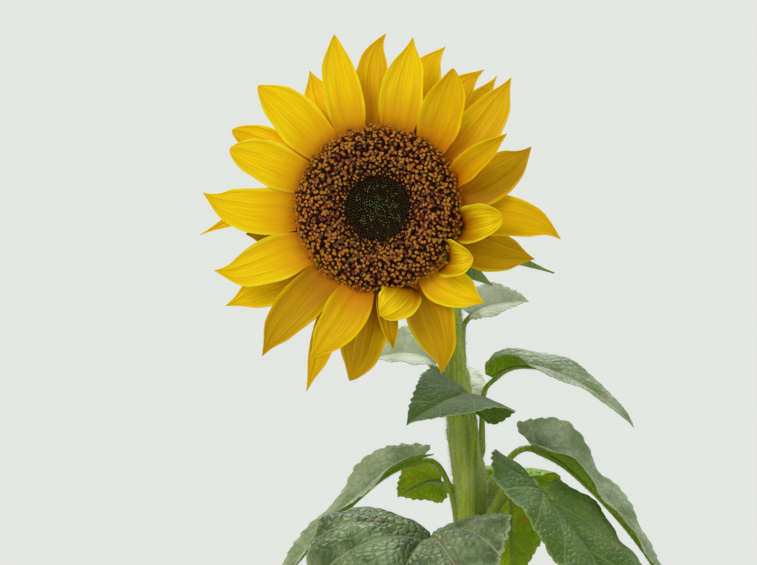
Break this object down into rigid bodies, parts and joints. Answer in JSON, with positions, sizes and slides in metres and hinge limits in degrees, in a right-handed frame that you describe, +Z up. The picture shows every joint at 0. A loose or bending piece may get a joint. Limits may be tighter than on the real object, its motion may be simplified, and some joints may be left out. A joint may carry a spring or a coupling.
{
  "type": "sunflower plant",
  "caption": "Compact garden sunflower with an open yellow flower head and brown disc on an upright hairy stem clothed in broad, drooping, toothed leaves.",
  "frame": {"origin": "centre of the flat cut under the stem, at ground level", "axes": "+Z up, -Y the way the flower faces, +X to the right of someone who looks at the flower's face"},
  "size_m": [0.4129, 0.4071, 0.9011],
  "materials": {
    "stem": "living green stem, ridged, covered with short white hairs",
    "leaf": "matt grey-green leaf, paler below, with raised pale veins and short hairs",
    "bract": "matt green bracts and cup",
    "floret": "orange-brown knobbed florets over dark brown gaps",
    "bud_floret": "fine dark green unopened florets",
    "ray": "satin golden yellow rays, orange at the foot, finely ribbed"
  },
  "bodies": {
    "root": {"stem": "stem", "leaf_01": "leaf", "leaf_02": "leaf", "leaf_03": "leaf", "leaf_04": "leaf", "leaf_05": "leaf", "leaf_06": "leaf", "leaf_07": "leaf", "leaf_08": "leaf", "leaf_09": "leaf", "leaf_10": "leaf", "leaf_11": "leaf", "leaf_12": "leaf", "leaf_13": "leaf", "leaf_14": "leaf", "leaf_15": "leaf", "leaf_16": "leaf", "leaf_17": "leaf", "leaf_18": "leaf", "leaf_19": "leaf", "leaf_20": "leaf", "leaf_21": "leaf", "leaf_22": "leaf", "leaf_23": "leaf", "leaf_24": "leaf", "involucre": "bract", "disc_rim": "floret", "disc_eye": "bud_floret", "ray_01": "ray", "ray_02": "ray", "ray_03": "ray", "ray_04": "ray", "ray_05": "ray", "ray_06": "ray", "ray_07": "ray", "ray_08": "ray", "ray_09": "ray", "ray_10": "ray", "ray_11": "ray", "ray_12": "ray", "ray_13": "ray", "ray_14": "ray", "ray_15": "ray", "ray_16": "ray", "ray_17": "ray", "ray_18": "ray", "ray_19": "ray", "ray_20": "ray", "ray_21": "ray", "ray_22": "ray", "ray_23": "ray", "ray_24": "ray", "ray_25": "ray", "ray_26": "ray", "ray_27": "ray", "ray_28": "ray", "ray_29": "ray", "ray_30": "ray", "ray_31": "ray", "ray_32": "ray"}
  },
  "joints": []
}
